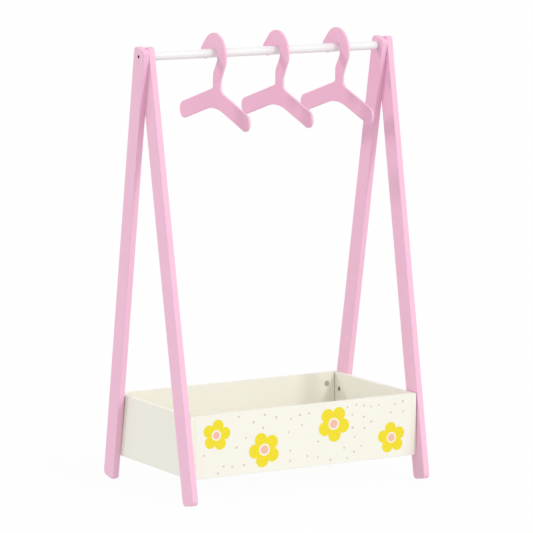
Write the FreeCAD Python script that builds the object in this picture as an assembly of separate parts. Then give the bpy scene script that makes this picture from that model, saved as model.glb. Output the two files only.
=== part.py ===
import FreeCAD, Part
import math
import os

# Kids clothing rack: two pairs of lapped legs carry a round hanging rail and an open storage box,
# and flat hangers ride on the rail. Millimetres; the floor is Z = 0, the rail runs along X and the
# printed wall of the box faces -Y.

# Storage box
box_width = 600.0             # outside, along X
box_depth = 360.0             # outside, along Y
box_height = 145.2
box_above_floor = 58.0
panel_thickness = 12.0
panel_edge_chamfer = 0.6
bottom_thickness = 4.0
bottom_rise = 10.0            # lower edge of the walls to the underside of the bottom
groove_depth = 5.0
groove_clearance = 0.15       # round the bottom panel in its groove

# Hanging rail
rail_height = 1002.0          # floor to the rail's axis
rail_diameter = 20.0
rail_end_chamfer = 1.0

# Legs
leg_width = 48.0
leg_thickness = 15.5
leg_beyond_box = 3.5          # leg's centre line past the long wall, at the box's lower edge
leg_above_rail = 20.0         # rail's axis to the top end of the leg
leg_corner_radius = 11.0      # at the four corners of the flat face
leg_edge_radius = 2.0         # all round the flat faces
seat_clearance = 0.1          # between pieces that are screwed against each other
lap_seat_depth = 0.8          # of the outer leg's seat for the inner one, on the rail's axis
lap_clearance = 0.3           # round the inner leg in that seat

# Bolts and inserts
bolt_diameter = 5.0
bolt_hole_clearance = 0.3     # round a bolt that passes through
thread_clearance = 0.05       # round a bolt, insert or dowel in the hole that grips it
head_clearance = 0.3          # round a head in its counterbore
rail_bolt_sink = 0.8          # head below the face it is sunk in
leg_bolt_sink = 2.2
hole_end_clearance = 0.5      # past the end of a piece in a blind hole
socket_across_flats = 4.0
socket_depth = 2.4
rail_bolt_head_diameter = 8.0
rail_bolt_head_height = 5.0
rail_insert_diameter = 10.0
rail_insert_length = 20.0
rail_bolt_engagement = 17.0   # thread held in the rail's insert
leg_bolt_head_diameter = 10.4
leg_bolt_head_height = 3.2
leg_bolt_engagement = 10.0
leg_bolt_above_bottom = 48.0  # lower bolts above the lower edge of the box
leg_bolt_below_top = 39.0     # upper bolts below its top edge
leg_bolt_inset = 14.0         # from the leg's centre line towards the middle of the rack
leg_insert_diameter = 9.0
leg_insert_length = 12.0

# Corner joints of the box
cam_diameter = 13.5
cam_depth = 9.2
cam_setback = 22.0            # cam's axis from the inner face of the end panel
cam_above_bottom = 36.0       # lower cams above the lower edge of the box
cam_below_top = 27.0          # upper cams below its top edge
cam_clearance = 0.1
cam_slot_length = 7.0
cam_slot_width = 1.4
cam_slot_depth = 1.8
cam_bolt_thread_diameter = 5.0
cam_bolt_thread_length = 9.0
cam_bolt_collar_diameter = 6.0
cam_bolt_collar_length = 1.2
cam_bolt_shank_diameter = 4.0
cam_bolt_head_diameter = 5.6
cam_bolt_head_length = 3.0
cam_bolt_channel_clearance = 0.35
dowel_diameter = 6.0
dowel_in_end = 8.0
dowel_in_wall = 14.0
dowel_chamfer = 0.8

# Hangers, drawn in the plane Y, Z about the centre of the hook's inner round
hanger_places = {"left": -133.1, "middle": 31.5, "right": 192.8}   # along the rail
hanger_thickness = 6.0
hanger_edge_chamfer = 0.8
hook_inner_radius = 15.0
hook_rail_clearance = 0.3
hook_outer_radius = 53.0
hook_outer_back = 1.6         # outer round's centre behind the inner round's
hook_outer_drop = 1.9         # and below it
hook_run_angle = 45.1         # degrees above +Y, where the outer round passes into a straight run
hook_run_length = 26.7        # down to the round tip
hook_tip_radius = 17.0
neck_front = 27.9             # front edge of the neck in front of the hook's centre
neck_back = 4.3               # back edge of the neck behind it
neck_front_bend_drop = 55.9   # where the front edge bends from the hook into the neck
neck_back_bend_drop = 40.9
hook_front_bend_drop = 12.3   # where the front edge leaves the hook's outer round
hook_back_bend_drop = 10.9    # where the back edge leaves the inner round
hook_front_bend_radius = 35.0
hook_back_bend_radius = 19.7
neck_front_bend_radius = 22.7
neck_back_bend_radius = 25.7
neck_front_foot_radius = 17.1
neck_back_foot_radius = 8.1
arm_front_shift = 1.1         # arms' middle in front of the hook's centre
arm_drop = 94.1               # arms' centre lines meet this far below the hook's centre
arm_slope = 17.7              # degrees
arm_width = 39.3
arm_length = 168.8            # along the slope, from the middle to the end
arm_tip_radius = 19.0
arm_crotch_radius = 145.0

along_x = FreeCAD.Vector(1, 0, 0)
along_y = FreeCAD.Vector(0, 1, 0)
along_z = FreeCAD.Vector(0, 0, 1)
origin = FreeCAD.Vector(0, 0, 0)

# Places that follow from the sizes above
box_bottom = box_above_floor
box_top = box_above_floor + box_height
end_outer = box_width / 2
end_inner = end_outer - panel_thickness
wall_outer = box_depth / 2
wall_inner = wall_outer - panel_thickness
wall_middle = wall_outer - panel_thickness / 2
leg_bolt_heights = (box_bottom + leg_bolt_above_bottom, box_top - leg_bolt_below_top)
cam_heights = (box_bottom + cam_above_bottom, box_top - cam_below_top)
dowel_height = sum(cam_heights) / 2
# Seen along the rail, the legs' centre lines cross on the rail's axis.
splay = math.atan((wall_outer + leg_beyond_box) / (rail_height - box_bottom))
leg_splay = math.degrees(splay)

inner_leg_face = end_outer + seat_clearance
inner_leg_back = inner_leg_face + leg_thickness
# The outer leg leans in until its inner face meets the lower edge of the box's end panel. A shallow
# tapered seat cut into it lets it lie flat against the inner leg where they lap.
lap_face = inner_leg_back + seat_clearance - lap_seat_depth
outer_leg_lean = math.atan((lap_face - inner_leg_face) / (rail_height - box_bottom))


def outer_leg_face(height):
    return inner_leg_face + (height - box_bottom) * math.tan(outer_leg_lean)


outer_leg_back = lap_face + leg_thickness / math.cos(outer_leg_lean)


def rounded_path(corners):
    """Edges of a path in the plane Y, Z through (y, z, radius) corners; the two ends stay sharp."""
    points = [FreeCAD.Vector(0, y, z) for y, z, radius in corners]
    edges = []
    last = points[0]
    for index in range(1, len(corners) - 1):
        corner = points[index]
        radius = corners[index][2]
        back = (points[index - 1] - corner).normalize()
        ahead = (points[index + 1] - corner).normalize()
        half_angle = back.getAngle(ahead) / 2
        middle = (back + ahead).normalize()
        arc_start = corner + back * (radius / math.tan(half_angle))
        arc_end = corner + ahead * (radius / math.tan(half_angle))
        arc_middle = corner + middle * (radius / math.sin(half_angle) - radius)
        edges.append(Part.LineSegment(last, arc_start).toShape())
        edges.append(Part.Arc(arc_start, arc_middle, arc_end).toShape())
        last = arc_end
    edges.append(Part.LineSegment(last, points[-1]).toShape())
    return edges


def plate(edges, thickness):
    """A flat piece with this outline, its thickness along +X."""
    return Part.Face(Part.Wire(edges)).extrude(along_x * thickness)


def rims(shape):
    """The edges all round the flat faces of a plate."""
    return [edge for edge in shape.Edges if edge.BoundBox.XLength < seat_clearance]


def panel(low, high):
    """A board between two corners, with eased edges."""
    size = high - low
    board = Part.makeBox(size.x, size.y, size.z, low)
    return board.makeChamfer(panel_edge_chamfer, board.Edges)


def turned(steps):
    """A stepped round piece along +Z from the origin, from (radius, length) steps."""
    outline = [origin]
    height = 0.0
    for radius, length in steps:
        outline.append(FreeCAD.Vector(radius, 0, height))
        height += length
        outline.append(FreeCAD.Vector(radius, 0, height))
    outline += [FreeCAD.Vector(0, 0, height), origin]
    return Part.Face(Part.makePolygon(outline)).revolve(origin, along_z, 360)


def placed(shape, point, direction):
    """A copy of a piece made along +Z, moved to a point and turned to a direction."""
    copy = shape.copy()
    copy.Placement = FreeCAD.Placement(point, FreeCAD.Rotation(along_z, direction))
    return copy


def hole(radius, point, direction, depth):
    return Part.makeCylinder(radius, depth, point, direction)


def half_turn(shape):
    """The piece's likeness on the other side of the rack, half a turn about Z away."""
    copy = shape.copy()
    copy.rotate(origin, along_z, 180)
    return copy


def hex_socket(depth):
    """A hexagonal recess from the origin along +Z."""
    across_corners = socket_across_flats / 2 / math.cos(math.pi / 6)
    corners = []
    for turn in range(7):
        angle = turn * math.pi / 3
        corners.append(FreeCAD.Vector(across_corners * math.cos(angle), across_corners * math.sin(angle), 0))
    return Part.Face(Part.makePolygon(corners)).extrude(along_z * depth)


def socket_bolt(head_diameter, head_height, shank_length):
    """A socket head bolt along +Z: its head's top is at the origin."""
    steps = [(head_diameter / 2, head_height), (bolt_diameter / 2, shank_length)]
    return turned(steps).cut(hex_socket(socket_depth))


def insert(diameter, length):
    """A threaded sleeve along +Z from the origin."""
    sleeve = Part.makeCylinder(diameter / 2, length)
    return sleeve.cut(Part.makeCylinder(bolt_diameter / 2 + thread_clearance, length))


def leg_length(drop):
    """Rail's axis to the foot end, along the leg, so that its round corner reaches down by the drop."""
    beside = leg_width / 2 - leg_corner_radius
    return (drop - beside * math.sin(splay) - leg_corner_radius) / math.cos(splay) + leg_corner_radius


def leg_outline(length, room):
    """Edges of a leg's flat outline about the rail bolt's axis, grown by some room on every side."""
    half = leg_width / 2 + room
    top = leg_above_rail + room
    bottom = -length - room
    radius = leg_corner_radius + room
    return rounded_path([(0, top, 0), (half, top, radius), (half, bottom, radius), (-half, bottom, radius),
                         (-half, top, radius), (0, top, 0)])


def leg_blank(length):
    """A straight leg about the rail bolt's axis, its inner face on X = 0."""
    blank = plate(leg_outline(length, 0), leg_thickness)
    return blank.makeFillet(leg_edge_radius, rims(blank))


def leg_bolt_points(way):
    """Bolt centres (y, z) on the leg that goes the way of +Y or -Y."""
    points = []
    for z in leg_bolt_heights:
        points.append((way * ((rail_height - z) * math.tan(splay) - leg_bolt_inset), z))
    return points


def drilled_leg(blank, way, face):
    """The leg with its bolt hole at the rail and its insert holes at the box."""
    through = hole(bolt_diameter / 2 + bolt_hole_clearance, FreeCAD.Vector(end_inner, 0, rail_height),
                   along_x, outer_leg_back)
    cuts = [through]
    for y, z in leg_bolt_points(way):
        start = FreeCAD.Vector(end_inner, y, z)
        depth = face(z) - end_inner + leg_insert_length + hole_end_clearance
        cuts.append(hole(leg_insert_diameter / 2 + thread_clearance, start, along_x, depth))
    return blank.cut(cuts)


nodes = {}

# Legs of the right pair: the rear one lies on the box, the front one laps over it.
inner_length = leg_length(rail_height)
inner_leg = leg_blank(inner_length)
lap_seat = plate(leg_outline(inner_length, lap_clearance), leg_thickness + seat_clearance)
for piece in (inner_leg, lap_seat):
    piece.rotate(origin, along_x, leg_splay)
    piece.translate(FreeCAD.Vector(inner_leg_face, 0, rail_height))
inner_leg = drilled_leg(inner_leg, 1, lambda height: inner_leg_face)

outer_drop = rail_height / math.cos(outer_leg_lean)
outer_drop -= (leg_thickness - leg_edge_radius) * math.tan(outer_leg_lean)
outer_leg = leg_blank(leg_length(outer_drop))
outer_leg.rotate(origin, along_x, -leg_splay)
outer_leg.rotate(origin, along_y, math.degrees(outer_leg_lean))
outer_leg.translate(FreeCAD.Vector(lap_face, 0, rail_height))
outer_leg = drilled_leg(outer_leg, -1, outer_leg_face).cut(lap_seat)
counterbore_depth = rail_bolt_head_height + rail_bolt_sink
rail_bolt_seat = outer_leg_back - counterbore_depth
outer_leg = outer_leg.cut(hole(rail_bolt_head_diameter / 2 + head_clearance,
                               FreeCAD.Vector(rail_bolt_seat, 0, rail_height), along_x, leg_thickness))

nodes["right_rear_leg"] = inner_leg
nodes["right_front_leg"] = outer_leg
nodes["left_front_leg"] = half_turn(inner_leg)
nodes["left_rear_leg"] = half_turn(outer_leg)

# Hanging rail between the inner legs, with an insert in each end
rail_end = inner_leg_face - seat_clearance
rail_start = FreeCAD.Vector(-rail_end, 0, rail_height)
rail = Part.makeCylinder(rail_diameter / 2, 2 * rail_end, rail_start, along_x)
rail = rail.makeChamfer(rail_end_chamfer, rims(rail))
for side in (1, -1):
    end = FreeCAD.Vector(side * rail_end, 0, rail_height)
    rail = rail.cut(hole(rail_insert_diameter / 2 + thread_clearance, end, along_x * -side,
                         rail_insert_length + hole_end_clearance))
nodes["hanging_rail"] = rail

rail_insert = placed(insert(rail_insert_diameter, rail_insert_length),
                     FreeCAD.Vector(rail_end, 0, rail_height), along_x * -1)
rail_bolt_shank = rail_bolt_seat - rail_end + rail_bolt_engagement
rail_bolt = placed(socket_bolt(rail_bolt_head_diameter, rail_bolt_head_height, rail_bolt_shank),
                   FreeCAD.Vector(rail_bolt_seat + rail_bolt_head_height, 0, rail_height), along_x * -1)
for name, piece in (("rail_insert", rail_insert), ("rail_bolt", rail_bolt)):
    nodes["right_" + name] = piece
    nodes["left_" + name] = half_turn(piece)

# Bottom of the box, held in grooves of the four walls
bottom_low = box_bottom + bottom_rise
bottom_reach_x = end_inner + groove_depth - groove_clearance
bottom_reach_y = wall_inner + groove_depth - groove_clearance


def bottom_block(room):
    """The bottom panel's block, grown by some room on every side."""
    low = FreeCAD.Vector(-bottom_reach_x - room, -bottom_reach_y - room, bottom_low - room)
    return Part.makeBox(-2 * low.x, -2 * low.y, bottom_thickness + 2 * room, low)


nodes["box_bottom_panel"] = bottom_block(0)
bottom_groove = bottom_block(groove_clearance)

# Corner joints: cams in the long walls pull on bolts in the end panels, and a dowel lines each corner up.
cam_blank = Part.makeCylinder(cam_diameter / 2, cam_depth)
for length, width in ((cam_slot_length, cam_slot_width), (cam_slot_width, cam_slot_length)):
    slot_low = FreeCAD.Vector(-length / 2, -width / 2, 0)
    cam_blank = cam_blank.cut(Part.makeBox(length, width, cam_slot_depth, slot_low))
cam_bolt_reach = cam_setback - cam_bolt_collar_length - cam_bolt_head_length / 2
cam_bolt = turned([(cam_bolt_thread_diameter / 2, cam_bolt_thread_length),
                   (cam_bolt_collar_diameter / 2, cam_bolt_collar_length),
                   (cam_bolt_shank_diameter / 2, cam_bolt_reach),
                   (cam_bolt_head_diameter / 2, cam_bolt_head_length)])
cam_bolt_bore = cam_bolt_collar_diameter / 2 + bolt_hole_clearance
cam_channel = cam_bolt_head_diameter / 2 + cam_bolt_channel_clearance
dowel = Part.makeCylinder(dowel_diameter / 2, dowel_in_end + dowel_in_wall)
dowel = dowel.makeChamfer(dowel_chamfer, [dowel.Edges[0], dowel.Edges[2]])
cams = []
cam_bolts = []
dowels = []
wall_cuts = {1: [], -1: []}
end_cuts = {1: [], -1: []}
for side in (1, -1):
    for way in (1, -1):
        inward = along_x * -side
        outward = along_y * way
        for z in cam_heights:
            joint = FreeCAD.Vector(side * end_inner, way * wall_middle, z)
            thread_start = joint - inward * cam_bolt_thread_length
            cam_bolts.append(placed(cam_bolt, thread_start, inward))
            end_cuts[side].append(hole(cam_bolt_thread_diameter / 2 + thread_clearance, joint, inward * -1,
                                       cam_bolt_thread_length + hole_end_clearance))
            wall_cuts[way].append(hole(cam_bolt_bore, joint, inward, cam_setback))
            cam_face = FreeCAD.Vector(side * (end_inner - cam_setback), way * (wall_inner + cam_clearance), z)
            channel = hole(cam_channel, joint, inward, cam_setback + cam_bolt_head_length)
            cams.append(placed(cam_blank, cam_face, outward).cut(channel))
            wall_cuts[way].append(hole(cam_diameter / 2 + cam_clearance, cam_face - outward * cam_clearance,
                                       outward, cam_depth + 3 * cam_clearance))
        joint = FreeCAD.Vector(side * end_inner, way * wall_middle, dowel_height)
        dowels.append(placed(dowel, joint - inward * dowel_in_end, inward))
        dowel_hole = dowel_diameter / 2 + thread_clearance
        end_cuts[side].append(hole(dowel_hole, joint, inward * -1, dowel_in_end + hole_end_clearance))
        wall_cuts[way].append(hole(dowel_hole, joint, inward, dowel_in_wall + hole_end_clearance))
nodes["cam_locks"] = Part.makeCompound(cams)
nodes["cam_bolts"] = Part.makeCompound(cam_bolts)
nodes["corner_dowels"] = Part.makeCompound(dowels)

# Bolts from inside the box into inserts in the legs
head_seat = leg_bolt_head_height + leg_bolt_sink
for side, side_name in ((1, "right"), (-1, "left")):
    bolts = []
    inserts = []
    for way in (1, -1):
        inner_pair = way == side
        for y, z in leg_bolt_points(way):
            face = inner_leg_face if inner_pair else outer_leg_face(z)
            shank = face - end_inner - head_seat + leg_bolt_engagement
            outward = along_x * side
            head_top = FreeCAD.Vector(side * (end_inner + leg_bolt_sink), y, z)
            bolts.append(placed(socket_bolt(leg_bolt_head_diameter, leg_bolt_head_height, shank), head_top, outward))
            inserts.append(placed(insert(leg_insert_diameter, leg_insert_length),
                                  FreeCAD.Vector(side * face, y, z), outward))
            mouth = FreeCAD.Vector(side * end_inner, y, z)
            end_cuts[side].append(hole(leg_bolt_head_diameter / 2 + head_clearance, mouth, outward, head_seat))
            end_cuts[side].append(hole(bolt_diameter / 2 + bolt_hole_clearance, mouth, outward, panel_thickness))
    nodes[side_name + "_leg_bolts"] = Part.makeCompound(bolts)
    nodes[side_name + "_leg_inserts"] = Part.makeCompound(inserts)

# Walls of the box: the end panels cover the ends of the front and back panels.
for side, name in ((1, "right"), (-1, "left")):
    xs = sorted((side * end_inner, side * end_outer))
    board = panel(FreeCAD.Vector(xs[0], -wall_outer, box_bottom), FreeCAD.Vector(xs[1], wall_outer, box_top))
    nodes["box_" + name + "_end_panel"] = board.cut([bottom_groove] + end_cuts[side])
for way, name in ((1, "back"), (-1, "front")):
    ys = sorted((way * wall_inner, way * wall_outer))
    board = panel(FreeCAD.Vector(-end_inner, ys[0], box_bottom), FreeCAD.Vector(end_inner, ys[1], box_top))
    nodes["box_" + name + "_panel"] = board.cut([bottom_groove] + wall_cuts[way])


def hanger_outline():
    """Edges of a hanger's flat outline, hook first, about the centre of the hook's inner round."""
    hook_centre = FreeCAD.Vector(0, hook_outer_back, -hook_outer_drop)
    slope = math.radians(arm_slope)
    middle = FreeCAD.Vector(0, -arm_front_shift, -arm_drop)
    rise = arm_width / 2 / math.cos(slope)

    def arm_top(y):
        return middle.z + rise - abs(y - middle.y) * math.tan(slope)

    def arm_end(way, above):
        reach = FreeCAD.Vector(0, way * math.cos(slope), -math.sin(slope)) * arm_length
        across = FreeCAD.Vector(0, way * math.sin(slope), math.cos(slope)) * (above * arm_width / 2)
        corner = middle + reach + across
        return (corner.y, corner.z, arm_tip_radius)

    hook_front = hook_centre.y - hook_outer_radius
    lower = rounded_path([
        (hook_front, hook_centre.z, 0),
        (hook_front, -hook_front_bend_drop, hook_front_bend_radius),
        (-neck_front, -neck_front_bend_drop, neck_front_bend_radius),
        (-neck_front, arm_top(-neck_front), neck_front_foot_radius),
        arm_end(-1, 1),
        arm_end(-1, -1),
        (middle.y, middle.z - rise, arm_crotch_radius),
        arm_end(1, -1),
        arm_end(1, 1),
        (neck_back, arm_top(neck_back), neck_back_foot_radius),
        (neck_back, -neck_back_bend_drop, neck_back_bend_radius),
        (-hook_inner_radius, -hook_back_bend_drop, hook_back_bend_radius),
        (-hook_inner_radius, 0, 0)])
    # From the outer round a straight run goes down to the round tip.
    run_angle = math.radians(hook_run_angle)
    outside = FreeCAD.Vector(0, math.cos(run_angle), math.sin(run_angle))
    down = FreeCAD.Vector(0, math.sin(run_angle), -math.cos(run_angle))
    outer_end = hook_centre + outside * hook_outer_radius
    run_end = outer_end + down * hook_run_length
    tip_centre = run_end - outside * hook_tip_radius
    tip_bottom = tip_centre - along_z * hook_tip_radius
    # A second one touches the tip from below and the inner round from above.
    mouth_angle = math.atan2(tip_centre.z, tip_centre.y)
    mouth_angle += math.acos((hook_inner_radius + hook_tip_radius) / tip_centre.Length)
    above = FreeCAD.Vector(0, math.cos(mouth_angle), math.sin(mouth_angle))
    tip_start = tip_centre - above * hook_tip_radius
    inner_end = above * hook_inner_radius
    inner_top = along_z * hook_inner_radius
    outer_top = hook_centre + along_z * hook_outer_radius
    inner_start = FreeCAD.Vector(0, -hook_inner_radius, 0)
    outer_start = FreeCAD.Vector(0, hook_front, hook_centre.z)
    hook = [Part.Arc(inner_start, inner_top, inner_end).toShape(),
            Part.LineSegment(inner_end, tip_start).toShape(),
            Part.Arc(tip_start, tip_bottom, run_end).toShape(),
            Part.LineSegment(run_end, outer_end).toShape(),
            Part.Arc(outer_end, outer_top, outer_start).toShape()]
    return lower + hook


# Hangers, each at the angle at which it balances below the rail
hanger = plate(hanger_outline(), hanger_thickness)
hanger = hanger.makeChamfer(hanger_edge_chamfer, rims(hanger))
balance = hanger.Solids[0].CenterOfMass
hanger.rotate(origin, along_x, math.degrees(math.atan(balance.y / balance.z)))
pivot_height = rail_height + rail_diameter / 2 + hook_rail_clearance - hook_inner_radius
for name, middle_x in hanger_places.items():
    copy = hanger.copy()
    copy.translate(FreeCAD.Vector(middle_x - hanger_thickness / 2, 0, pivot_height))
    nodes["hanger_" + name] = copy

os.makedirs("parts", exist_ok=True)
for name, shape in nodes.items():
    shape.exportStep("parts/" + name + ".step")
print("hangers balance at", round(math.degrees(math.atan(balance.y / balance.z)), 2), "degrees, pivot", pivot_height)
print("legs lean in by", round(math.degrees(outer_leg_lean), 3), "degrees")
print(len(nodes), "nodes")
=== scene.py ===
import math
import bmesh
import bpy
from mathutils import Matrix, Vector


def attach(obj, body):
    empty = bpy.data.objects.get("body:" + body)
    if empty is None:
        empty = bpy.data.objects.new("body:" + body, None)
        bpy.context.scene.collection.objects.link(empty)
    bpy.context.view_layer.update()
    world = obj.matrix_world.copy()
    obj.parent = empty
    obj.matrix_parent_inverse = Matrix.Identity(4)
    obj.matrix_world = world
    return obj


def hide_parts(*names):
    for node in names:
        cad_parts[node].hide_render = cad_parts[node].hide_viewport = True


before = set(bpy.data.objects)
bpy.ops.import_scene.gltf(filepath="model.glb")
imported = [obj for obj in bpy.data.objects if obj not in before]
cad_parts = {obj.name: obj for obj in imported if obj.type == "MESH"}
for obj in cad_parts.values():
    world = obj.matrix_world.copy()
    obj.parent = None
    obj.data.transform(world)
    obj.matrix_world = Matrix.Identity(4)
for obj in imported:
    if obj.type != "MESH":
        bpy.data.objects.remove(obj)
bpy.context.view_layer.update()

scene = bpy.context.scene
scene.view_settings.view_transform = "Standard"
mm = 0.001
pureWhite = (1, 1, 1, 1)


def linear(red, green, blue):
    # screen colour, 0 to 255, as the linear colour that shaders take, by the usual screen curve
    out = []
    for value in (red / 255, green / 255, blue / 255):
        out.append(value / 12.92 if value <= 0.04045 else ((value + 0.055) / 1.055) ** 2.4)
    return (*out, 1.0)


def addNode(tree, kind, inputs=None, **settings):
    # a node with its settings, and each input either linked or given a value
    node = tree.nodes.new(kind)
    for key, value in settings.items():
        setattr(node, key, value)
    for key, value in (inputs or {}).items():
        if isinstance(value, bpy.types.NodeSocket):
            tree.links.new(value, node.inputs[key])
        else:
            node.inputs[key].default_value = value
    return node


def emptyMaterial(name):
    material = bpy.data.materials.new(name)
    material.use_nodes = True
    material.node_tree.nodes.clear()
    return material, material.node_tree


def newObject(name, mesh, material=None):
    obj = bpy.data.objects.new(name, mesh)
    scene.collection.objects.link(obj)
    if material:
        mesh.materials.append(material)
    return obj


def meshFrom(work, name):
    mesh = bpy.data.meshes.new(name)
    work.to_mesh(mesh)
    work.free()
    return mesh


# Parts that the finishes share: uneven patches, a blend of two close tints, a range of roughness, a bump
def patches(tree, place, scale, detail, **more):
    return addNode(tree, "ShaderNodeTexNoise",
                   {"Vector": place, "Scale": scale, "Detail": detail, **more}).outputs["Fac"]


def twoTints(tree, share, look):
    return addNode(tree, "ShaderNodeMix", {0: share, 6: linear(*look["tint"]), 7: linear(*look["deepTint"])},
                   data_type="RGBA").outputs[2]


def roughnessRange(tree, share, look):
    low, high = look["roughness"]
    return addNode(tree, "ShaderNodeMapRange", {"Value": share, "To Min": low, "To Max": high}).outputs[0]


def raisedBy(tree, height, look):
    return addNode(tree, "ShaderNodeBump", {"Height": height, "Strength": look["bump"],
                                           "Distance": look["bumpHeight"]}).outputs[0]


# Paint over wood or board: two close tints, a rolled-on skin and a trace of grain below it
def paint(name, look, tilt=0.0):
    material, tree = emptyMaterial(name)
    place = addNode(tree, "ShaderNodeTexCoord").outputs["Object"]
    mottle = patches(tree, place, look["mottleScale"], look["mottleDetail"])
    along = addNode(tree, "ShaderNodeMapping", {"Vector": place, "Rotation": (tilt, 0.0, 0.0),
                                               "Scale": look["grainSquash"]}).outputs[0]
    grain = patches(tree, along, look["grainScale"], look["grainDetail"],
                    Roughness=look["grainRoughness"], Distortion=look["grainWander"])
    skin = patches(tree, place, look["skinScale"], look["skinDetail"])
    raised = addNode(tree, "ShaderNodeMath", {0: grain, 1: look["grainShare"], 2: skin},
                     operation="MULTIPLY_ADD").outputs[0]
    shader = addNode(tree, "ShaderNodeBsdfPrincipled", {
        "Base Color": twoTints(tree, mottle, look), "Roughness": roughnessRange(tree, grain, look),
        "Normal": raisedBy(tree, raised, look)})
    shader.inputs["Specular IOR Level"].default_value = look["gloss"]
    addNode(tree, "ShaderNodeOutputMaterial", {"Surface": shader.outputs[0]})
    return material


pinkPaintLook = {
    "tint": (244, 194, 218), "deepTint": (239, 187, 212), "mottleScale": 11.0, "mottleDetail": 3.0,
    "grainSquash": (1.0, 1.0, 0.05), "grainScale": 240.0, "grainDetail": 5.0, "grainRoughness": 0.6,
    "grainWander": 0.4, "grainShare": 0.5, "skinScale": 900.0, "skinDetail": 2.0,
    "bump": 0.18, "bumpHeight": 0.06 * mm, "roughness": (0.42, 0.54), "gloss": 0.35}
creamPaintLook = dict(
    pinkPaintLook, tint=(243, 241, 229), deepTint=(238, 237, 224), mottleScale=7.0,
    grainSquash=(0.08, 1.0, 1.0), grainScale=160.0, grainShare=0.25, skinScale=750.0,
    bump=0.16, bumpHeight=0.05 * mm, roughness=(0.44, 0.56))
whitePaintLook = dict(
    creamPaintLook, tint=(241, 242, 242), deepTint=(237, 238, 238),
    grainSquash=(0.04, 1.0, 1.0), grainScale=260.0, roughness=(0.32, 0.42))
bottomPaintLook = dict(creamPaintLook, tint=(239, 239, 229), deepTint=(234, 234, 223))
hangerPaintLook = dict(
    pinkPaintLook, tint=(244, 191, 216), deepTint=(240, 185, 210),
    grainSquash=(1.0, 0.06, 1.0), roughness=(0.40, 0.52))
legTilt = math.radians(11.0)    # the grain runs along the slanting legs
rearLegPaint = paint("rear leg pink paint", pinkPaintLook, legTilt)
frontLegPaint = paint("front leg pink paint", pinkPaintLook, -legTilt)
hangerPaint = paint("hanger pink paint", hangerPaintLook)
boardPaint = paint("cream board paint", creamPaintLook)
railPaint = paint("white rail paint", whitePaintLook)
bottomPaint = paint("bottom board paint", bottomPaintLook)


# Ink on the printed wall: a flat colour with the slight unevenness of a screen print
def ink(name, look):
    material, tree = emptyMaterial(name)
    place = addNode(tree, "ShaderNodeTexCoord").outputs["Object"]
    cover = patches(tree, place, look["coverScale"], look["coverDetail"])
    shader = addNode(tree, "ShaderNodeBsdfPrincipled", {
        "Base Color": twoTints(tree, cover, look), "Normal": raisedBy(tree, cover, look)})
    shader.inputs["Roughness"].default_value = look["roughness"]
    shader.inputs["Specular IOR Level"].default_value = look["gloss"]
    addNode(tree, "ShaderNodeOutputMaterial", {"Surface": shader.outputs[0]})
    return material


yellowInkLook = {
    "tint": (239, 220, 36), "deepTint": (236, 215, 28), "coverScale": 90.0, "coverDetail": 4.0,
    "bump": 0.1, "bumpHeight": 0.03 * mm, "roughness": 0.5, "gloss": 0.35}
flowerInk = ink("yellow ink", yellowInkLook)
middleInk = ink("peach ink", dict(yellowInkLook, tint=(242, 190, 168), deepTint=(238, 182, 160)))
dotInk = ink("rose ink", dict(
    yellowInkLook, tint=(223, 199, 195), deepTint=(217, 192, 188), coverScale=140.0))


# Small fittings: metal and bare wood with a fine uneven surface
def fitting(name, look):
    material, tree = emptyMaterial(name)
    place = addNode(tree, "ShaderNodeTexCoord").outputs["Object"]
    along = addNode(tree, "ShaderNodeMapping", {"Vector": place, "Scale": look["squash"]}).outputs[0]
    uneven = patches(tree, along, look["scale"], look["detail"])
    shader = addNode(tree, "ShaderNodeBsdfPrincipled", {
        "Base Color": twoTints(tree, uneven, look), "Roughness": roughnessRange(tree, uneven, look),
        "Normal": raisedBy(tree, uneven, look)})
    shader.inputs["Metallic"].default_value = look["metal"]
    addNode(tree, "ShaderNodeOutputMaterial", {"Surface": shader.outputs[0]})
    return material


blackBoltLook = {
    "tint": (44, 40, 38), "deepTint": (30, 27, 26), "squash": (1.0, 1.0, 1.0), "scale": 700.0, "detail": 4.0,
    "bump": 0.2, "bumpHeight": 0.05 * mm, "roughness": (0.38, 0.55), "metal": 0.7}
blackBolt = fitting("black bolt", blackBoltLook)
brownedBolt = fitting("browned bolt", dict(
    blackBoltLook, tint=(104, 98, 86), deepTint=(86, 80, 70), roughness=(0.45, 0.6), metal=0.4))
castZinc = fitting("cast zinc", dict(
    blackBoltLook, tint=(208, 208, 196), deepTint=(184, 184, 171), scale=900.0,
    roughness=(0.42, 0.6), metal=0.85))
platedSteel = fitting("plated steel", dict(
    blackBoltLook, tint=(190, 190, 188), deepTint=(165, 166, 165), scale=800.0,
    roughness=(0.3, 0.45), metal=1.0))
turnedBrass = fitting("turned brass", dict(
    blackBoltLook, tint=(206, 170, 96), deepTint=(186, 148, 76), squash=(0.1, 1.0, 1.0), scale=900.0,
    roughness=(0.28, 0.42), metal=1.0))
dowelBeech = fitting("beech", dict(
    blackBoltLook, tint=(216, 182, 138), deepTint=(190, 152, 106), squash=(0.06, 1.0, 1.0), scale=420.0,
    roughness=(0.55, 0.7), metal=0.0))
print("materials made")

# Long boards: their ends close tight outside and stand a hair open inside, a dark line in the box's corners
longBoard = {"endFrom": 287.0 * mm, "outer": 180.0 * mm, "thick": 12.0 * mm, "undercut": 0.9 * mm}


def undercutEnds(work):
    for vert in work.verts:
        if abs(vert.co.x) > longBoard["endFrom"]:
            inside = (longBoard["outer"] - abs(vert.co.y)) / longBoard["thick"]
            vert.co.x -= math.copysign(longBoard["undercut"] * inside, vert.co.x)


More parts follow.
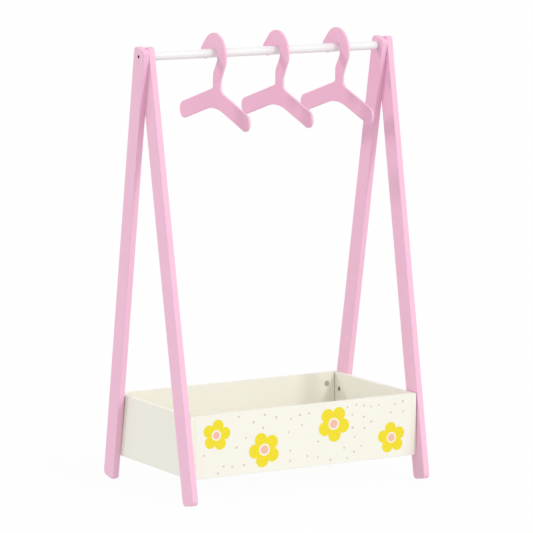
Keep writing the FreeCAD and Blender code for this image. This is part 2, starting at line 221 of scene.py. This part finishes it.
# Legs, boards and bolts: the node's own shape with loose triangles joined, flats whole and rims eased
easing = {"legs": 0.25 * mm, "boards": 0.3 * mm, "bolts": 0.2 * mm, "steps": 2, "joinWithin": 0.004 * mm,
          "flatBelow": math.radians(0.4), "sharpFrom": math.radians(32)}


def easedCopy(name, nodeName, material, ease, reshape=None):
    work = bmesh.new()
    work.from_mesh(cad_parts[nodeName].data)
    bmesh.ops.remove_doubles(work, verts=work.verts, dist=easing["joinWithin"])
    if reshape:
        reshape(work)
    bmesh.ops.dissolve_limit(work, angle_limit=easing["flatBelow"], verts=work.verts, edges=work.edges)
    mesh = meshFrom(work, name)
    mesh.shade_smooth()
    mesh.set_sharp_from_angle(angle=easing["sharpFrom"])
    obj = newObject(name, mesh, material)
    rounding = obj.modifiers.new("eased rims", "BEVEL")
    rounding.width = ease
    rounding.segments = easing["steps"]
    rounding.limit_method = "ANGLE"
    rounding.angle_limit = easing["sharpFrom"]
    obj.modifiers.new("flat faces stay flat", "WEIGHTED_NORMAL").keep_sharp = True
    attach(obj, "rack")
    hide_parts(nodeName)


for side in ("left", "right"):
    easedCopy(side + "RearLeg", side + "_rear_leg", rearLegPaint, easing["legs"])
    easedCopy(side + "FrontLeg", side + "_front_leg", frontLegPaint, easing["legs"])
    easedCopy(side + "EndBoard", "box_" + side + "_end_panel", boardPaint, easing["boards"])
    easedCopy(side + "RailBolt", side + "_rail_bolt", blackBolt, easing["bolts"])
    easedCopy(side + "LegBolts", side + "_leg_bolts", brownedBolt, easing["bolts"])
easedCopy("frontBoard", "box_front_panel", boardPaint, easing["boards"], undercutEnds)
easedCopy("backBoard", "box_back_panel", boardPaint, easing["boards"], undercutEnds)
easedCopy("bottomBoard", "box_bottom_panel", bottomPaint, easing["boards"])
for nodeName, material in (("cam_bolts", platedSteel), ("corner_dowels", dowelBeech),
                           ("left_rail_insert", turnedBrass), ("right_rail_insert", turnedBrass),
                           ("left_leg_inserts", turnedBrass), ("right_leg_inserts", turnedBrass)):
    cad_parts[nodeName].data.materials[0] = material
print("legs, box and fasteners made")

# Round piece turned about Z from a (radius, height) profile
turnedSharpFrom = math.radians(40)


def turnedMesh(name, profile, segments):
    work = bmesh.new()
    rings = []
    for radius, height in profile:
        ring = []
        for step in range(segments):
            angle = 2 * math.pi * step / segments
            ring.append(work.verts.new((radius * math.cos(angle), radius * math.sin(angle), height)))
        rings.append(ring)
    for low, high in zip(rings, rings[1:]):
        for step in range(segments):
            after = (step + 1) % segments
            work.faces.new((low[step], low[after], high[after], high[step]))
    work.faces.new(rings[0][::-1])
    work.faces.new(rings[-1])
    bmesh.ops.recalc_face_normals(work, faces=work.faces)
    mesh = meshFrom(work, name)
    mesh.shade_smooth()
    mesh.set_sharp_from_angle(angle=turnedSharpFrom)
    return mesh


# Hanging rail, with softly rounded ends and a blind hole for the insert in each
rail = {"radius": 10.0 * mm, "half": 300.0 * mm, "height": 1002.0 * mm, "endRound": 1.0 * mm,
        "holeRadius": 5.05 * mm, "holeDepth": 20.5 * mm, "roundSteps": 4, "segments": 96}


def railEnd():
    points = [(rail["holeRadius"], rail["half"] - rail["holeDepth"]), (rail["holeRadius"], rail["half"])]
    for step in range(rail["roundSteps"] + 1):
        angle = math.pi / 2 * (1 - step / rail["roundSteps"])
        points.append((rail["radius"] - rail["endRound"] * (1 - math.cos(angle)),
                       rail["half"] - rail["endRound"] * (1 - math.sin(angle))))
    return points


farEnd = railEnd()
railProfile = [(radius, -height) for radius, height in farEnd] + farEnd[::-1]
railMesh = turnedMesh("hangingRail", railProfile, rail["segments"])
railMesh.transform(Matrix.Translation((0, 0, rail["height"])) @ Matrix.Rotation(math.pi / 2, 4, "Y"))
railBar = newObject("hangingRail", railMesh, railPaint)
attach(railBar, "rack")
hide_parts("hanging_rail")

# Flat hangers: an outline in Y and Z about the hook's centre (mm, degrees), then thickness and round rims
hanger = {
    "thickness": 6.0, "rimRound": 1.3, "rimSteps": 4, "rimProfile": 0.5, "pivot": 997.3,
    "places": {"left": -133.1, "middle": 31.5, "right": 192.8},
    "hookInner": 15.0, "hookOuter": 53.0, "outerCentre": (1.6, -1.9), "runAngle": 45.1, "runLength": 26.7,
    "tipRadius": 17.0, "neckFront": -27.9, "neckBack": 4.3, "frontBends": ((-12.3, 35.0), (-55.9, 22.7)),
    "frontFoot": 17.1, "backBends": ((-40.9, 25.7), (-10.9, 19.7)), "backFoot": 8.1,
    "armMiddle": (-1.1, -94.1), "armSlope": 17.7, "armWidth": 39.3, "armLength": 168.8, "tipRound": 19.0,
    "crotchRound": 145.0, "arcStep": 4.0, "fewestSteps": 3, "joinWithin": 0.02}


def arcPoints(centre, start, sweep):
    steps = max(hanger["fewestSteps"], math.ceil(abs(math.degrees(sweep)) / hanger["arcStep"]))
    out = []
    for step in range(steps + 1):
        turn = Matrix.Rotation(sweep * step / steps, 2)
        out.append(centre + turn @ start)
    return out


def roundedPath(corners):
    # points along straight runs whose (y, z, radius) corners are arcs
    points = [Vector(corners[0][:2])]
    for before, corner, after in zip(corners, corners[1:], corners[2:]):
        here = Vector(corner[:2])
        back = (Vector(before[:2]) - here).normalized()
        ahead = (Vector(after[:2]) - here).normalized()
        half = back.angle(ahead) / 2
        centre = here + (back + ahead).normalized() * (corner[2] / math.sin(half))
        start = here + back * (corner[2] / math.tan(half)) - centre
        sweep = start.angle_signed(here + ahead * (corner[2] / math.tan(half)) - centre)
        points += arcPoints(centre, start, -sweep)
    points.append(Vector(corners[-1][:2]))
    return points


def hangerOutline():
    outer = Vector(hanger["outerCentre"])
    middle = Vector(hanger["armMiddle"])
    slope = math.radians(hanger["armSlope"])
    rise = hanger["armWidth"] / 2 / math.cos(slope)
    hookFront = outer.x - hanger["hookOuter"]

    def armTop(y):
        return middle.y + rise - abs(y - middle.x) * math.tan(slope)

    def armEnd(way, above):
        corner = middle + Vector((way * math.cos(slope), -math.sin(slope))) * hanger["armLength"]
        corner += Vector((way * math.sin(slope), math.cos(slope))) * (above * hanger["armWidth"] / 2)
        return (corner.x, corner.y, hanger["tipRound"])

    front, back, inner = hanger["neckFront"], hanger["neckBack"], hanger["hookInner"]
    path = roundedPath([
        (hookFront, outer.y, 0), (hookFront, *hanger["frontBends"][0]), (front, *hanger["frontBends"][1]),
        (front, armTop(front), hanger["frontFoot"]), armEnd(-1, 1), armEnd(-1, -1),
        (middle.x, middle.y - rise, hanger["crotchRound"]), armEnd(1, -1), armEnd(1, 1),
        (back, armTop(back), hanger["backFoot"]), (back, *hanger["backBends"][0]),
        (-inner, *hanger["backBends"][1]), (-inner, 0, 0)])
    # from the outer round a straight run goes down to the round tip, and a second one back to the inner round
    angle = math.radians(hanger["runAngle"])
    outside = Vector((math.cos(angle), math.sin(angle)))
    down = Vector((math.sin(angle), -math.cos(angle)))
    tip = hanger["tipRadius"]
    tipCentre = outer + outside * (hanger["hookOuter"] - tip) + down * hanger["runLength"]
    mouth = math.atan2(tipCentre.y, tipCentre.x) + math.acos((inner + tip) / tipCentre.length)
    above = Vector((math.cos(mouth), math.sin(mouth)))
    path += arcPoints(Vector((0, 0)), Vector((-inner, 0)), mouth - math.pi)
    path += arcPoints(tipCentre, -above * tip, math.pi + angle - mouth)
    path += arcPoints(outer, outside * hanger["hookOuter"], math.pi - angle)
    return path


def balanced(outline):
    # the outline turned until its centre of mass is below the hook's centre
    moment = Vector((0, 0))
    for here, there in zip(outline, outline[1:] + outline[:1]):
        moment += (here + there) * (here.x * there.y - there.x * here.y)
    turn = Matrix.Rotation(math.atan(moment.x / moment.y), 2)
    return [turn @ point for point in outline]


def hangerMesh(name):
    work = bmesh.new()
    rim = []
    for point in balanced(hangerOutline()):
        if not rim or (Vector(rim[-1].co.yz) - point).length > hanger["joinWithin"]:
            rim.append(work.verts.new((-hanger["thickness"] / 2, point.x, point.y)))
    if (rim[0].co - rim[-1].co).length < hanger["joinWithin"]:
        work.verts.remove(rim.pop())
    face = work.faces.new(rim)
    made = bmesh.ops.extrude_face_region(work, geom=[face])
    moved = [part for part in made["geom"] if isinstance(part, bmesh.types.BMVert)]
    bmesh.ops.translate(work, verts=moved, vec=(hanger["thickness"], 0, 0))
    bmesh.ops.recalc_face_normals(work, faces=work.faces)
    rims = [edge for edge in work.edges
            if abs(edge.verts[0].co.x - edge.verts[1].co.x) < hanger["joinWithin"]]
    bmesh.ops.bevel(work, geom=rims, offset=hanger["rimRound"], segments=hanger["rimSteps"],
                    profile=hanger["rimProfile"], affect="EDGES", clamp_overlap=True)
    mesh = meshFrom(work, name)
    mesh.shade_smooth()
    return mesh


for spot, middleX in hanger["places"].items():
    mesh = hangerMesh(spot + "Hanger")
    mesh.transform(Matrix.Translation((middleX * mm, 0, hanger["pivot"] * mm)) @ Matrix.Scale(mm, 4))
    obj = newObject(spot + "Hanger", mesh, hangerPaint)
    obj.modifiers.new("flat faces stay flat", "WEIGHTED_NORMAL")
    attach(obj, spot + "_hanger")
    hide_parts("hanger_" + spot)
print("rail and hangers made")


# Geometry Nodes: a tree with named inputs, and its result as a plain mesh
def newTree(name, inputs):
    tree = bpy.data.node_groups.new(name, "GeometryNodeTree")
    tree.interface.new_socket("Geometry", in_out="INPUT", socket_type="NodeSocketGeometry")
    tree.interface.new_socket("Geometry", in_out="OUTPUT", socket_type="NodeSocketGeometry")
    for label, kind in inputs:
        tree.interface.new_socket(label, in_out="INPUT", socket_type=kind)
    return tree, addNode(tree, "NodeGroupInput").outputs


def realized(tree, instances):
    return addNode(tree, "GeometryNodeRealizeInstances", {"Geometry": instances}).outputs[0]


def plainMesh(obj, modifier):
    # the object with its modifier's result as its own mesh
    evaluated = obj.evaluated_get(bpy.context.evaluated_depsgraph_get())
    mesh = bpy.data.meshes.new_from_object(evaluated)
    obj.modifiers.remove(modifier)
    obj.data = mesh
    return obj


def grow(obj, tree, values):
    modifier = obj.modifiers.new(tree.name, "NODES")
    modifier.node_group = tree
    for socket in tree.interface.items_tree:
        if socket.in_out == "INPUT" and socket.name in values:
            modifier[socket.identifier] = values[socket.name]
    return plainMesh(obj, modifier)


# Printed wall: flowers as (x, height, radius, turn) in mm and degrees, and dots that keep clear of them
frontPrint = {
    "face": -180.0 * mm, "low": 58.0 * mm, "size": (576.0 * mm, 145.2 * mm), "thick": 0.12 * mm,
    "sunk": 0.02 * mm,
    "flowers": [(-233, 97, 36, 8), (-108, 52, 41, 40), (76, 94, 42, -14), (232, 47, 37, 25)],
    "petals": 5, "petalDepth": 0.36, "petalFullness": 0.65, "petalHole": 0.34, "outlineSteps": 120,
    "middle": 0.24, "middleSides": 40, "usualRadius": 34.0 * mm,
    "dotRadius": 2.6 * mm, "dotVary": (0.85, 1.15), "dotSides": 18, "dotSpacing": 20.0 * mm,
    "dotDensity": 2000.0, "dotMargin": 9.0 * mm, "dotClear": 50.0 * mm, "seed": 11}


def flatRing(name, outerAt, innerAt, steps, depth):
    # a thin closed plate between two outlines given as radius by angle, its face on +Z
    work = bmesh.new()
    loops = []
    for radiusAt, height in ((outerAt, 0), (innerAt, 0), (innerAt, depth), (outerAt, depth)):
        loop = []
        for step in range(steps):
            angle = 2 * math.pi * step / steps
            radius = radiusAt(angle)
            loop.append(work.verts.new((radius * math.cos(angle), radius * math.sin(angle), height)))
        loops.append(loop)
    for here, there in zip(loops, loops[1:] + loops[:1]):
        for step in range(steps):
            after = (step + 1) % steps
            work.faces.new((here[step], here[after], there[after], there[step]))
    bmesh.ops.recalc_face_normals(work, faces=work.faces)
    return meshFrom(work, name)


def petalOutline(angle):
    lobe = abs(math.cos(angle * frontPrint["petals"] / 2)) ** frontPrint["petalFullness"]
    return 1 - frontPrint["petalDepth"] * (1 - lobe)


def petalHole(angle):
    return frontPrint["petalHole"]


def flowerSpots():
    mesh = bpy.data.meshes.new("flower spots")
    spots = frontPrint["flowers"]
    mesh.from_pydata([(x * mm, z * mm, 0) for x, z, radius, turn in spots], [], [])
    for label, index in (("radius", 2), ("turn", 3)):
        values = mesh.attributes.new(label, "FLOAT", "POINT").data
        for value, spot in zip(values, spots):
            value.value = spot[index] * mm if label == "radius" else math.radians(spot[index])
    return mesh


def stoodUp(tree, geometry, inputs):
    # from the XY plane to the upright front face, then given its ink
    place = addNode(tree, "ShaderNodeCombineXYZ", {"Y": inputs["Front"], "Z": inputs["Low"]})
    upright = addNode(tree, "GeometryNodeTransform", {
        "Geometry": geometry, "Translation": place.outputs[0], "Rotation": (math.pi / 2, 0, 0)})
    inked = addNode(tree, "GeometryNodeSetMaterial", {
        "Geometry": upright.outputs[0], "Material": inputs["Ink"]})
    addNode(tree, "NodeGroupOutput", {"Geometry": inked.outputs[0]})


motifTree, inputs = newTree("printed motifs", [
    ("Motif", "NodeSocketObject"), ("Front", "NodeSocketFloat"), ("Low", "NodeSocketFloat"),
    ("Ink", "NodeSocketMaterial")])
motif = addNode(motifTree, "GeometryNodeObjectInfo", {"Object": inputs["Motif"]})
radius = addNode(motifTree, "GeometryNodeInputNamedAttribute", {"Name": "radius"}, data_type="FLOAT")
turn = addNode(motifTree, "GeometryNodeInputNamedAttribute", {"Name": "turn"}, data_type="FLOAT")
spin = addNode(motifTree, "ShaderNodeCombineXYZ", {"Z": turn.outputs[0]})
laid = addNode(motifTree, "GeometryNodeInstanceOnPoints", {
    "Points": inputs["Geometry"], "Instance": motif.outputs["Geometry"], "Rotation": spin.outputs[0],
    "Scale": radius.outputs[0]})
stoodUp(motifTree, realized(motifTree, laid.outputs[0]), inputs)

dotTree, inputs = newTree("printed dots", [
    ("Width", "NodeSocketFloat"), ("Height", "NodeSocketFloat"), ("Radius", "NodeSocketFloat"),
    ("Sides", "NodeSocketInt"), ("Thickness", "NodeSocketFloat"), ("Spacing", "NodeSocketFloat"),
    ("Density", "NodeSocketFloat"), ("Clear", "NodeSocketFloat"), ("Seed", "NodeSocketInt"),
    ("Front", "NodeSocketFloat"), ("Low", "NodeSocketFloat"), ("Ink", "NodeSocketMaterial")])
field = addNode(dotTree, "GeometryNodeMeshGrid", {
    "Size X": inputs["Width"], "Size Y": inputs["Height"], "Vertices X": 2, "Vertices Y": 2})
halfUp = addNode(dotTree, "ShaderNodeMath", {0: inputs["Height"], 1: 0.5}, operation="MULTIPLY")
raised = addNode(dotTree, "ShaderNodeMath", {0: halfUp.outputs[0], 1: frontPrint["dotMargin"]},
                 operation="ADD")
lift = addNode(dotTree, "ShaderNodeCombineXYZ", {"Y": raised.outputs[0]})
lifted = addNode(dotTree, "GeometryNodeTransform", {
    "Geometry": field.outputs["Mesh"], "Translation": lift.outputs[0]})
strewn = addNode(dotTree, "GeometryNodeDistributePointsOnFaces", {
    "Mesh": lifted.outputs[0], "Distance Min": inputs["Spacing"], "Density Max": inputs["Density"],
    "Seed": inputs["Seed"]}, distribute_method="POISSON")
away = addNode(dotTree, "GeometryNodeProximity", {0: inputs["Geometry"]}, target_element="POINTS")
near = addNode(dotTree, "FunctionNodeCompare", {0: away.outputs["Distance"], 1: inputs["Clear"]},
               data_type="FLOAT", operation="LESS_THAN")
kept = addNode(dotTree, "GeometryNodeDeleteGeometry", {
    "Geometry": strewn.outputs["Points"], "Selection": near.outputs[0]}, domain="POINT")
dot = addNode(dotTree, "GeometryNodeMeshCylinder", {
    "Vertices": inputs["Sides"], "Radius": inputs["Radius"], "Depth": inputs["Thickness"]})
smallest, largest = frontPrint["dotVary"]
vary = addNode(dotTree, "FunctionNodeRandomValue", {2: smallest, 3: largest, "Seed": inputs["Seed"]},
               data_type="FLOAT")
laid = addNode(dotTree, "GeometryNodeInstanceOnPoints", {
    "Points": kept.outputs[0], "Instance": dot.outputs["Mesh"], "Scale": vary.outputs[1]})
stoodUp(dotTree, realized(dotTree, laid.outputs[0]), inputs)

# motifs are drawn with a radius of 1 and scaled to their own, so their thickness is drawn for a usual radius
depth = frontPrint["thick"] / frontPrint["usualRadius"]
petals = newObject("petal pattern", flatRing("petal pattern", petalOutline, petalHole,
                                             frontPrint["outlineSteps"], depth))
middleProfile = [(frontPrint["middle"], 0), (frontPrint["middle"], depth)]
middle = newObject("middle pattern", turnedMesh("middle pattern", middleProfile, frontPrint["middleSides"]))
front = frontPrint["face"] + frontPrint["sunk"]
shared = {"Front": front, "Low": frontPrint["low"]}
margin = 2 * frontPrint["dotMargin"]
printed = [
    grow(newObject("printedPetals", flowerSpots()), motifTree, dict(shared, Motif=petals, Ink=flowerInk)),
    grow(newObject("printedMiddles", flowerSpots()), motifTree, dict(shared, Motif=middle, Ink=middleInk)),
    grow(newObject("printedDots", flowerSpots()), dotTree, dict(
        shared, Width=frontPrint["size"][0] - margin, Height=frontPrint["size"][1] - margin,
        Radius=frontPrint["dotRadius"], Sides=frontPrint["dotSides"], Thickness=2 * frontPrint["thick"],
        Spacing=frontPrint["dotSpacing"], Density=frontPrint["dotDensity"], Clear=frontPrint["dotClear"],
        Seed=frontPrint["seed"], Ink=dotInk))]
for obj in printed:
    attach(obj, "rack")
for pattern in (petals, middle):
    bpy.data.objects.remove(pattern)
print("front printed:", len(printed[2].data.polygons) // (frontPrint["dotSides"] + 2), "dots")

# Cam locks: a rimmed disc with a cross recess and a side opening for the bolt, set into the long walls
cam = {"radius": 6.75 * mm, "depth": 9.2 * mm, "rim": 0.9 * mm, "sunk": 0.3 * mm, "ease": 0.35 * mm,
       "segments": 64, "slot": (7.0 * mm, 1.4 * mm, 1.8 * mm), "channel": 3.15 * mm, "channelSides": 32,
       "boltBelow": 5.9 * mm, "boltPast": 3.0 * mm, "sliver": 0.002 * mm,
       "x": 266.0 * mm, "face": 168.1 * mm, "heights": (94.0 * mm, 176.2 * mm)}


def cutBy(target, cutter):
    trim = target.modifiers.new("cut", "BOOLEAN")
    trim.object = cutter
    trim.solver = "EXACT"
    plainMesh(target, trim)
    bpy.data.objects.remove(cutter)


def camPattern():
    edge, ease, low = cam["radius"], cam["ease"], -cam["depth"]
    inside = edge - cam["rim"]
    profile = [(edge - ease, low), (edge, low + ease), (edge, -ease), (edge - ease, 0), (inside, 0),
               (inside - cam["sunk"], -cam["sunk"])]
    disc = newObject("cam pattern", turnedMesh("cam pattern", profile, cam["segments"]))
    length, width, deep = cam["slot"]
    for size in ((length, width), (width, length)):
        work = bmesh.new()
        bmesh.ops.create_cube(work, size=1.0, matrix=Matrix.Diagonal((size[0], size[1], 2 * deep, 1.0)))
        cutBy(disc, newObject("slot", meshFrom(work, "slot")))
    bore = [(cam["channel"], -cam["boltPast"]), (cam["channel"], 2 * edge)]
    channel = turnedMesh("channel", bore, cam["channelSides"])
    channel.transform(Matrix.Translation((0, 0, -cam["boltBelow"])) @ Matrix.Rotation(math.pi / 2, 4, "Y"))
    cutBy(disc, newObject("channel", channel))
    work = bmesh.new()
    work.from_mesh(disc.data)
    bmesh.ops.dissolve_degenerate(work, dist=cam["sliver"], edges=work.edges)    # slivers left by the cuts
    work.to_mesh(disc.data)
    work.free()
    disc.data.shade_smooth()
    disc.data.set_sharp_from_angle(angle=turnedSharpFrom)
    return disc


fittingTree, inputs = newTree("fittings in the walls", [
    ("Fitting", "NodeSocketObject"), ("Metal", "NodeSocketMaterial")])
shape = addNode(fittingTree, "GeometryNodeObjectInfo", {"Object": inputs["Fitting"]})
facing = addNode(fittingTree, "GeometryNodeInputNamedAttribute", {"Name": "facing"}, data_type="FLOAT_VECTOR")
toBolt = addNode(fittingTree, "GeometryNodeInputNamedAttribute", {"Name": "toBolt"}, data_type="FLOAT_VECTOR")
turned = addNode(fittingTree, "FunctionNodeAlignRotationToVector", {"Vector": facing.outputs[0]}, axis="Z")
turned = addNode(fittingTree, "FunctionNodeAlignRotationToVector", {
    "Rotation": turned.outputs[0], "Vector": toBolt.outputs[0]}, axis="X", pivot_axis="Z")
laid = addNode(fittingTree, "GeometryNodeInstanceOnPoints", {
    "Points": inputs["Geometry"], "Instance": shape.outputs["Geometry"], "Rotation": turned.outputs[0]})
plated = addNode(fittingTree, "GeometryNodeSetMaterial", {
    "Geometry": realized(fittingTree, laid.outputs[0]), "Material": inputs["Metal"]})
addNode(fittingTree, "NodeGroupOutput", {"Geometry": plated.outputs[0]})

camSpots = [(side, way, height) for side in (1, -1) for way in (1, -1) for height in cam["heights"]]
spotMesh = bpy.data.meshes.new("cam spots")
spotMesh.from_pydata([(side * cam["x"], way * cam["face"], height) for side, way, height in camSpots], [], [])
for label, vectors in (("facing", [(0, -way, 0) for side, way, height in camSpots]),
                       ("toBolt", [(side, 0, 0) for side, way, height in camSpots])):
    attribute = spotMesh.attributes.new(label, "FLOAT_VECTOR", "POINT")
    for item, vector in zip(attribute.data, vectors):
        item.vector = vector
disc = camPattern()
cams = grow(newObject("camLocks", spotMesh), fittingTree, {"Fitting": disc, "Metal": castZinc})
bpy.data.objects.remove(disc)
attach(cams, "rack")
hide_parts("cam_locks")
print("cam locks made:", len(camSpots))

# White floor with a faint shadow, white surroundings, and lamps as (towards, strength, softness in degrees)
stage = {
    "floorSize": 30.0, "floorTint": (242, 242, 240), "floorGlow": 0.94, "ambient": 0.77,
    "lamps": {"key": ((0.52, -1.66, 1.0), 0.81, 9.0),
              "backLeft": ((-1.0, 0.72, 0.69), 0.61, 8.0),
              "frontRightFill": ((0.8, -1.0, 0.4), 0.38, 50.0),
              "leftFill": ((-1.0, -0.1, 0.35), 0.06, 50.0)}}


def seenDirectly(tree):
    # 1 where a camera, glossy or see-through ray arrives
    rays = addNode(tree, "ShaderNodeLightPath").outputs
    mirrored = addNode(tree, "ShaderNodeMath", {0: rays["Is Glossy Ray"], 1: rays["Is Transmission Ray"]},
                       operation="MAXIMUM")
    return addNode(tree, "ShaderNodeMath", {0: rays["Is Camera Ray"], 1: mirrored.outputs[0]},
                   operation="MAXIMUM").outputs[0]


floorMaterial, tree = emptyMaterial("floor")
matt = addNode(tree, "ShaderNodeBsdfDiffuse", {"Color": linear(*stage["floorTint"])})
glow = addNode(tree, "ShaderNodeEmission", {"Color": pureWhite, "Strength": 1.0})
share = addNode(tree, "ShaderNodeMath", {0: seenDirectly(tree), 1: stage["floorGlow"]}, operation="MULTIPLY")
blend = addNode(tree, "ShaderNodeMixShader", {0: share.outputs[0], 1: matt.outputs[0], 2: glow.outputs[0]})
addNode(tree, "ShaderNodeOutputMaterial", {"Surface": blend.outputs[0]})
half = stage["floorSize"] / 2
floorMesh = bpy.data.meshes.new("floor")
floorCorners = [(-half, -half, 0), (half, -half, 0), (half, half, 0), (-half, half, 0)]
floorMesh.from_pydata(floorCorners, [], [(0, 1, 2, 3)])
floor = newObject("floor", floorMesh, floorMaterial)
floor.visible_diffuse = False    # as in a light tent, the surroundings light the object from below too

world = bpy.data.worlds.new("studio")
scene.world = world
world.use_nodes = True
tree = world.node_tree
tree.nodes.clear()
around = addNode(tree, "ShaderNodeBackground", {"Color": pureWhite, "Strength": stage["ambient"]})
white = addNode(tree, "ShaderNodeBackground", {"Color": pureWhite, "Strength": 1.0})
blend = addNode(tree, "ShaderNodeMixShader", {
    0: seenDirectly(tree), 1: around.outputs[0], 2: white.outputs[0]})
addNode(tree, "ShaderNodeOutputWorld", {"Surface": blend.outputs[0]})

for name, (towards, strength, softness) in stage["lamps"].items():
    lamp = bpy.data.lights.new(name, "SUN")
    lamp.energy = strength
    lamp.angle = math.radians(softness)
    lampObject = bpy.data.objects.new(name, lamp)
    lampObject.rotation_euler = Vector(towards).to_track_quat("Z", "Y").to_euler()
    scene.collection.objects.link(lampObject)

# Camera where the photo was taken from: metres, degrees and mm
view = {"place": (-4.11425, -7.13205, 1.68359), "turn": 29.9897, "down": 8.1746, "roll": -0.083,
        "lens": 242.39, "film": 36.0, "sees": 100.0}
camera = bpy.data.cameras.new("camera")
camera.sensor_width = view["film"]
camera.lens = view["lens"]
camera.clip_end = view["sees"]
cameraObject = bpy.data.objects.new("camera", camera)
cameraObject.location = view["place"]
aim = (Matrix.Rotation(-math.radians(view["turn"]), 3, "Z")
       @ Matrix.Rotation(math.radians(90 - view["down"]), 3, "X"))
cameraObject.rotation_euler = (aim @ Matrix.Rotation(math.radians(view["roll"]), 3, "Z")).to_euler()
scene.collection.objects.link(cameraObject)
scene.camera = cameraObject
print("lights and camera placed")
